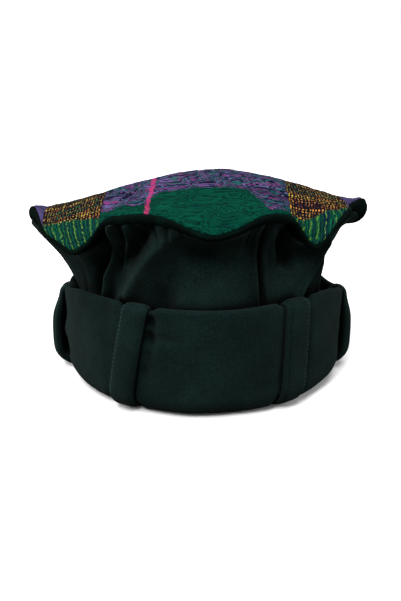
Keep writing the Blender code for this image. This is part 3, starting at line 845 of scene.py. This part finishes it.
class Graph:
    """A material's nodes, added and joined by short calls."""

    def __init__(self, name):
        self.material = bpy.data.materials.new(name)
        self.material.use_nodes = True
        self.tree = self.material.node_tree
        self.shader = self.tree.nodes["Principled BSDF"]

    def add(self, kind, **settings):
        node = self.tree.nodes.new("ShaderNode" + kind)
        for name, value in settings.items():
            setattr(node, name, value)
        return node

    def join(self, value, socket):
        """Puts a number, a colour or another node's output into a socket."""
        if isinstance(value, bpy.types.NodeSocket):
            self.tree.links.new(value, socket)
        elif isinstance(value, (tuple, list)) and len(value) == 3 and socket.type == "RGBA":
            socket.default_value = (*value, 1.0)
        else:
            socket.default_value = value

    def math(self, operation, *values):
        node = self.add("Math", operation=operation)
        for value, socket in zip(values, node.inputs):
            self.join(value, socket)
        return node.outputs[0]

    def cloth(self):
        """The place on the flat cloth, as x and y."""
        node = self.add("UVMap", uv_map="cloth")
        split = self.add("SeparateXYZ")
        self.join(node.outputs[0], split.inputs[0])
        return split.outputs[0], split.outputs[1]

    def point(self, x, y, z=0.0):
        node = self.add("CombineXYZ")
        for value, socket in zip((x, y, z), node.inputs):
            self.join(value, socket)
        return node.outputs[0]

    def object_point(self):
        return self.add("TexCoord").outputs["Object"]

    def noise(self, point, size, detail=2.0, rough=0.5, warp=0.0):
        """Noise about 0 to 1 with swells about size apart."""
        node = self.add("TexNoise")
        self.join(point, node.inputs["Vector"])
        node.inputs["Scale"].default_value = 1.0 / size
        node.inputs["Detail"].default_value = detail
        node.inputs["Roughness"].default_value = rough
        node.inputs["Distortion"].default_value = warp
        return node.outputs[0]

    def random(self, value):
        node = self.add("TexWhiteNoise", noise_dimensions="1D")
        self.join(value, node.inputs["W"])
        return node.outputs["Value"]

    def step(self, value, low, high, start=0.0, end=1.0):
        """A soft step from start at low to end at high."""
        node = self.add("MapRange", interpolation_type="SMOOTHSTEP")
        for number, socket in zip((value, low, high, start, end), node.inputs):
            self.join(number, socket)
        return node.outputs[0]

    def band(self, value, low, high, soft):
        """1 between low and high and 0 outside, with soft edges."""
        up = self.step(value, low - soft, low + soft)
        down = self.step(value, high - soft, high + soft, 1.0, 0.0)
        return self.math("MULTIPLY", up, down)

    def mix(self, share, a, b, blend="MIX"):
        node = self.add("Mix", data_type="RGBA", blend_type=blend)
        self.join(share, node.inputs[0])
        self.join(a, node.inputs[6])
        self.join(b, node.inputs[7])
        return node.outputs[2]

    def ramp(self, value, stops):
        """Colours along a value, from a list of places and colours."""
        node = self.add("ValToRGB")
        ramp = node.color_ramp
        while len(ramp.elements) < len(stops):
            ramp.elements.new(1.0)
        for element, (place_at, colour) in zip(ramp.elements, stops):
            element.position = place_at
            element.color = (*colour, 1.0)
        self.join(value, node.inputs[0])
        return node.outputs[0]

    def wave(self, value, pitch, phase=0.0):
        """A wave from 0 to 1 with this pitch."""
        turn = self.math("MULTIPLY", value, 2 * math.pi / pitch)
        turn = self.math("ADD", turn, phase)
        return self.math("MULTIPLY_ADD", self.math("SINE", turn), 0.5, 0.5)

    def shelter(self, reach):
        """How open a place is, from 0 in a crevice to 1."""
        node = self.add("AmbientOcclusion", samples=8)
        node.inputs["Distance"].default_value = reach
        return node.outputs["AO"]

    def bump(self, height, distance, before=None):
        node = self.add("Bump")
        node.inputs["Strength"].default_value = 1.0
        node.inputs["Distance"].default_value = distance
        self.join(height, node.inputs["Height"])
        if before is not None:
            self.join(before, node.inputs["Normal"])
        return node.outputs[0]

    def finish(self, colour, roughness, normal, sheen, tint):
        self.join(colour, self.shader.inputs["Base Color"])
        self.join(roughness, self.shader.inputs["Roughness"])
        self.join(normal, self.shader.inputs["Normal"])
        self.shader.inputs["Sheen Weight"].default_value = sheen
        self.shader.inputs["Sheen Roughness"].default_value = 0.55
        self.shader.inputs["Sheen Tint"].default_value = (*tint, 1.0)
        self.shader.inputs["Specular IOR Level"].default_value = 0.02
        return self.material


def rgb(red, green, blue):
    """A colour of a screen's 0 to 255 values as a linear one."""
    return tuple(
        (v / 255 / 12.92) if v <= 10 else ((v / 255 + 0.055) / 1.055) ** 2.4
        for v in (red, green, blue)
    )


def felt_material(name, dark, light, painted_shade=(0.010, 0.85, 0.75), rib=0.0011):
    """Matte felted knit: fine wales, a soft mottle and a little fuzz, with painted shade that darkens it towards
    black in crevices and under overhangs.
    """
    g = Graph(name)
    x, y = g.cloth()
    spot = g.object_point()
    mottle = g.math("MULTIPLY_ADD", g.noise(spot, 0.030, 3.0, 0.6), 0.5, 0.25)
    heather = g.noise(spot, 0.0011, 3.0, 0.7)
    share = g.math("MULTIPLY_ADD", g.math("SUBTRACT", heather, 0.5), 0.9, mottle)
    wale = g.wave(x, rib)
    course = g.wave(y, rib * 0.72, g.math("MULTIPLY", wale, 2.2))
    knit = g.math("MULTIPLY", wale, course)
    share = g.math("MULTIPLY_ADD", g.math("SUBTRACT", knit, 0.25), 0.35, share)
    colour = g.mix(g.step(share, 0.25, 0.80), dark, light)
    fuzz = g.math("ADD", g.math("MULTIPLY", knit, 0.6), g.math("MULTIPLY", heather, 0.8))
    lumps = g.bump(g.noise(spot, 0.008, 2.0), 0.00025)
    normal = g.bump(fuzz, 0.00022, lumps)
    rough = g.step(heather, 0.2, 0.8, 0.80, 0.95)
    # Painted shade: where ambient occlusion finds a crevice or an overhang within the first number's reach, the
    # colour darkens towards near black. The second number is the openness where this shade ends, and the third is
    # its strength.
    colour = g.mix(g.step(g.shelter(painted_shade[0]), 0.30, painted_shade[1], painted_shade[2], 0.0), colour, rgb(0, 1, 1))
    return g.finish(colour, rough, normal, 0.02, (0.75, 0.90, 0.88))


def facing_material():
    """Dark ribbed band: cords across it and two rows of small bars."""
    g = Graph("facing_rib")
    x, y = g.cloth()
    spot = g.object_point()
    bars = g.wave(y, 0.0013)
    cords = g.wave(x, 0.0013, g.math("MULTIPLY", g.noise(spot, 0.01), 2.0))
    weave = g.math("MULTIPLY", bars, cords)
    colour = g.mix(weave, rgb(2, 6, 5), rgb(7, 18, 15))
    mottle = g.noise(spot, 0.010, 3.0, 0.6)
    colour = g.mix(g.step(mottle, 0.45, 0.75, 0.0, 0.4), colour, rgb(3, 28, 20))
    normal = g.bump(g.math("ADD", weave, g.math("MULTIPLY", mottle, 0.4)), 0.00045)
    return g.finish(colour, 0.95, normal, 0.0, (1.0, 1.0, 1.0))


# The plaid's places on the flat cloth, and how steeply the green's edge slants across it

PINK_AT = -0.0345
LEFT_ORANGE = (-0.1135, -0.0695)
RIGHT_ORANGE = (0.0565, 0.0970)
GREEN_TOP = -0.0825
GREEN_LEFT = -0.0300
GREEN_RIGHT = 0.0280


def plaid_fields(g, x, y, wobble):
    """How green and how orange the plaid is at a place, and whether it lies in the outer columns."""

    def line(start, at, slope, value):
        run = g.math("SUBTRACT", value, at)
        return g.math("MULTIPLY_ADD", run, slope, start)

    def larger(a, b):
        return g.math("MAXIMUM", a, b)

    def share_of(mask, a, b):
        return g.math("MULTIPLY_ADD", mask, g.math("SUBTRACT", b, a), a)

    left = larger(line(0.0, GREEN_LEFT, -1.0, x), 0.0)
    right = larger(line(0.0, GREEN_RIGHT, 1.0, x), 0.0)
    patch = line(line(GREEN_TOP, 0.0, -1.6, left), 0.0, -1.85, right)
    strip = larger(line(-0.0950, -0.0400, -0.62, x), line(-0.1090, 0.0420, 0.62, x))
    middle = larger(patch, strip)
    outer_left = line(-0.0813, -0.0732, -0.52, x)
    outer_right = line(-0.0990, 0.0656, 0.85, x)
    front = share_of(g.math("LESS_THAN", x, LEFT_ORANGE[1]), middle, outer_left)
    front = share_of(g.math("GREATER_THAN", x, RIGHT_ORANGE[0]), front, outer_right)
    over = g.math("SUBTRACT", g.math("ADD", y, wobble), front)
    green = g.step(over, -0.0010, 0.0010, 1.0, 0.0)
    green = larger(green, g.band(y, -0.0030, 0.0440, 0.0010))
    green = larger(green, g.step(y, 0.1020, 0.1040))
    orange = g.math("ADD", g.band(x, *LEFT_ORANGE, 0.0006), g.band(x, *RIGHT_ORANGE, 0.0006))
    ends = g.math("ADD", g.step(x, LEFT_ORANGE[0] - 0.001, LEFT_ORANGE[0], 1.0, 0.0),
                  g.step(x, RIGHT_ORANGE[1], RIGHT_ORANGE[1] + 0.001))
    return green, orange, ends


def crinkled_wool(g, x, y, green):
    """Blistered wool: curved strokes over a dark ground, and how high it stands."""
    flat = g.point(x, y)
    turn = g.math("MULTIPLY", g.math("SUBTRACT", g.noise(flat, 0.030, 1.0), 0.5), 1.6)
    cosine, sine = g.math("COSINE", turn), g.math("SINE", turn)
    u = g.math("SUBTRACT", g.math("MULTIPLY", x, cosine), g.math("MULTIPLY", y, sine))
    v = g.math("ADD", g.math("MULTIPLY", x, sine), g.math("MULTIPLY", y, cosine))
    strokes = g.noise(g.point(g.math("MULTIPLY", u, 0.36), v), 0.0019, 2.0, 0.6, 0.35)
    others = g.noise(g.point(g.math("MULTIPLY", u, 0.26), v, 0.05), 0.0019, 1.0, 0.5, 0.3)
    thirds = g.noise(g.point(g.math("MULTIPLY", u, 0.40), v, 0.11), 0.0021, 1.0, 0.5, 0.3)
    patch = g.noise(flat, 0.016, 2.0)
    # The emerald's narrow dark band lies where the strokes run high and the relief falls into its valleys:
    # painted shade of the crinkle.
    emerald = g.ramp(strokes, [
        (0.34, rgb(2, 60, 43)), (0.48, rgb(1, 52, 38)), (0.56, rgb(1, 42, 32)),
        (0.63, rgb(0, 20, 19)), (0.72, rgb(1, 46, 35))])
    emerald = g.mix(g.step(patch, 0.55, 0.72, 0.0, 0.50), emerald, rgb(1, 32, 34))
    ground = g.mix(g.step(patch, 0.42, 0.60), rgb(11, 14, 34), rgb(6, 38, 42))
    violet = g.mix(g.step(strokes, 0.49, 0.57), ground, rgb(78, 68, 112))
    violet = g.mix(g.step(others, 0.58, 0.64, 0.0, 0.9), violet, rgb(108, 44, 98))
    violet = g.mix(g.step(thirds, 0.57, 0.63, 0.0, 0.8), violet, rgb(18, 76, 70))
    violet = g.mix(g.step(thirds, 0.37, 0.44, 0.90, 0.0), violet, rgb(6, 10, 24))
    return g.mix(green, violet, emerald), strokes


def dotted_cloth(g, x, y):
    """Yellow, orange and red threads that cross over navy, in groups."""
    warp, weft = g.wave(x, 0.0021), g.wave(y, 0.0030)
    glow = [(0.0, rgb(164, 88, 40)), (0.26, rgb(178, 152, 64)), (0.46, rgb(104, 44, 42)),
            (0.62, rgb(36, 32, 38)), (0.76, rgb(52, 98, 60)), (0.90, rgb(156, 100, 46))]
    upright = g.ramp(g.random(g.math("FLOOR", g.math("DIVIDE", x, 0.0021))), glow)
    level = g.ramp(g.random(g.math("ADD", g.math("FLOOR", g.math("DIVIDE", y, 0.0060)), 0.37)), glow)
    thread = g.mix(g.step(weft, 0.45, 0.70), upright, level)
    dots = g.math("MULTIPLY", g.step(warp, 0.42, 0.72), g.step(weft, 0.20, 0.62, 0.22, 1.0))
    fleck = g.noise(g.point(x, y, 0.02), 0.0034, 2.0, 0.7)
    dots = g.math("MULTIPLY", dots, g.step(fleck, 0.41, 0.55, 0.06, 1.0))
    return g.mix(dots, rgb(7, 8, 14), thread), g.math("ADD", warp, weft)


def ribbed_cloth(g, x, y):
    """Green and yellow ribs over navy blotches."""
    lean = g.math("MULTIPLY_ADD", y, 0.10, x)
    rib = g.wave(lean, 0.0018)
    tone = g.random(g.math("ADD", g.math("FLOOR", g.math("DIVIDE", lean, 0.0018)), 0.71))
    dash = g.noise(g.point(g.math("MULTIPLY", lean, 3.0), y), 0.0034, 1.0)
    ground = g.mix(g.step(dash, 0.45, 0.55), rgb(6, 18, 34), rgb(2, 40, 32))
    colours = g.ramp(tone, [
        (0.0, rgb(4, 58, 34)), (0.30, rgb(8, 74, 42)), (0.48, rgb(5, 24, 38)),
        (0.62, rgb(12, 68, 34)), (0.80, rgb(3, 42, 30))])
    cloth = g.mix(g.step(rib, 0.45, 0.80), ground, colours)
    bright = g.math("MULTIPLY", g.step(g.wave(lean, 0.0054), 0.93, 0.985), g.step(dash, 0.42, 0.50))
    return g.mix(bright, cloth, rgb(72, 108, 42)), rib


def plaid_material():
    """The panel's plaid: emerald and violet wool, dotted and ribbed columns, and a pink line."""
    g = Graph("plaid_wool")
    x, y = g.cloth()
    wander = g.math("SUBTRACT", g.noise(g.point(x, y), 0.0060, 2.0), 0.5)
    sideways = g.math("MULTIPLY_ADD", wander, 0.0040, x)
    green, orange, ends = plaid_fields(g, sideways, y, g.math("MULTIPLY", wander, 0.0060))
    wool, strokes = crinkled_wool(g, x, y, green)
    dotted, crossing = dotted_cloth(g, sideways, y)
    ribbed, ribs = ribbed_cloth(g, sideways, y)
    colour = g.mix(orange, wool, g.mix(green, dotted, ribbed))
    colour = g.mix(ends, colour, g.mix(strokes, rgb(16, 14, 32), rgb(84, 74, 118)))

    drift = g.math("MULTIPLY_ADD", g.step(y, -0.090, -0.078), 0.0012, PINK_AT - 0.0012)
    near = g.math("ABSOLUTE", g.math("SUBTRACT", sideways, drift))
    near = g.math("SUBTRACT", near, g.math("MULTIPLY", g.wave(y, 0.0058), 0.0007))
    pink = g.math("MULTIPLY", g.step(near, 0.0009, 0.0015, 1.0, 0.0), g.step(strokes, 0.44, 0.60, 1.0, 0.30))
    colour = g.mix(pink, colour, rgb(150, 38, 88))

    fine = g.noise(g.point(x, y, 0.03), 0.0010, 2.0, 0.6)
    colour = g.mix(g.step(fine, 0.40, 0.72, 0.0, 0.45), colour, rgb(6, 14, 20))
    relief = g.math("MULTIPLY_ADD", fine, 0.5, g.math("MULTIPLY", strokes, -2.0))
    cords = g.math("MULTIPLY", g.mix(green, crossing, ribs), 0.35)
    normal = g.bump(g.mix(orange, relief, cords), 0.0009)
    return g.finish(colour, 0.95, normal, 0.0, (1.0, 1.0, 1.0))


# The stage


def make_stage():
    mesh = bpy.data.meshes.new("floor")
    half = 12.0
    mesh.from_pydata([(-half, -half, 0), (half, -half, 0), (half, half, 0), (-half, half, 0)], [], [(0, 1, 2, 3)])
    floor = bpy.data.objects.new("floor", mesh)
    bpy.context.scene.collection.objects.link(floor)
    material = bpy.data.materials.new("floor")
    material.use_nodes = True
    shader = material.node_tree.nodes["Principled BSDF"]
    shader.inputs["Base Color"].default_value = (0.92, 0.92, 0.92, 1.0)
    shader.inputs["Roughness"].default_value = 0.9
    shader.inputs["Specular IOR Level"].default_value = 0.1
    mesh.materials.append(material)
    floor.visible_diffuse = False
    floor.visible_glossy = False


def make_light(name, place_at, size, power):
    data = bpy.data.lights.new(name, "AREA")
    data.shape = "DISK"
    data.size = size
    data.energy = power
    light = bpy.data.objects.new(name, data)
    light.location = place_at
    aim = Vector((0.0, 0.0, 0.08)) - light.location
    light.rotation_euler = aim.to_track_quat("-Z", "Y").to_euler()
    bpy.context.scene.collection.objects.link(light)


def make_ceiling():
    """A wide soft light from straight above."""
    data = bpy.data.lights.new("ceiling", "SUN")
    data.energy = CEILING
    data.angle = math.radians(50.0)
    light = bpy.data.objects.new("ceiling", data)
    light.rotation_euler = (math.radians(14.0), math.radians(-6.0), 0.0)
    bpy.context.scene.collection.objects.link(light)


def make_camera():
    data = bpy.data.cameras.new("camera")
    data.sensor_width = 36.0
    data.lens = CAMERA_FOCUS / PHOTO_HEIGHT * data.sensor_width
    camera = bpy.data.objects.new("camera", data)
    camera.location = AXIS + CAMERA_PLACE
    camera.rotation_euler = (math.radians(90.0 - CAMERA_PITCH), 0.0, 0.0)
    bpy.context.scene.collection.objects.link(camera)
    bpy.context.scene.camera = camera


CAMERA_PLACE = np.array([-0.00206, -0.6120, 0.2630])
CAMERA_PITCH = 19.1
CAMERA_FOCUS = 835.0  # in pixels of the photograph
PHOTO_HEIGHT = 601.0


SKY = [(0.43, 0.10), (0.47, 1.0), (0.57, 1.0), (0.62, 0.22), (1.0, 0.34)]  # height and brightness
CEILING = 4.2


def make_world():
    """A white horizon between a dim ground and a softly lit ceiling."""
    world = bpy.data.worlds.new("studio")
    world.use_nodes = True
    tree = world.node_tree
    way = tree.nodes.new("ShaderNodeTexCoord").outputs["Generated"]
    split = tree.nodes.new("ShaderNodeSeparateXYZ")
    level = tree.nodes.new("ShaderNodeMath")
    level.operation = "MULTIPLY_ADD"
    level.inputs[1].default_value = level.inputs[2].default_value = 0.5
    ramp = tree.nodes.new("ShaderNodeValToRGB")
    tree.links.new(way, split.inputs[0])
    tree.links.new(split.outputs[2], level.inputs[0])
    tree.links.new(level.outputs[0], ramp.inputs[0])
    while len(ramp.color_ramp.elements) < len(SKY):
        ramp.color_ramp.elements.new(1.0)
    for element, (at, grey) in zip(ramp.color_ramp.elements, SKY):
        element.position = at
        element.color = (grey, grey, grey, 1.0)
    background = tree.nodes["Background"]
    tree.links.new(ramp.outputs[0], background.inputs["Color"])
    bpy.context.scene.world = world
    bpy.context.scene.view_settings.view_transform = "Standard"


def main():
    make_world()
    make_stage()
    make_camera()
    make_ceiling()
    make_light("front_box", (-0.35, -1.05, 1.05), 0.45, 15.0)
    make_light("left_box", (-1.20, -0.25, 0.55), 0.7, 10.0)
    make_light("right_box", (1.20, -0.35, 0.55), 0.7, 7.0)
    # The cuff's felt gets painted shade in its crevices. The wall's shade reaches 34 mm, painting shadow deep
    # under the rim's overhang and in its folds.
    felt = felt_material("cuff_felt", rgb(4, 13, 12), rgb(17, 33, 31))
    wall = felt_material("wall_felt", rgb(5, 15, 14), rgb(25, 43, 39), (0.034, 0.96, 0.95))
    panel = make_panel(plaid_material())
    facing = make_facing(facing_material())
    side = make_wall(wall)
    cuff = make_cuff(felt)
    loops = [make_loop(loop, felt) for loop in LOOPS]
    # The stitches' thread is lighter than the felt, and this also paints the highlight along the raised seams.
    # Its darker copy is the same thread as painted shade for one stitch row.
    thread = felt_material("thread", rgb(24, 42, 40), rgb(44, 66, 62))
    dark = felt_material("shaded_thread", rgb(1, 4, 4), rgb(6, 14, 13))
    for loop in LOOPS:
        make_loop_stitches(loop, thread, dark)


main()
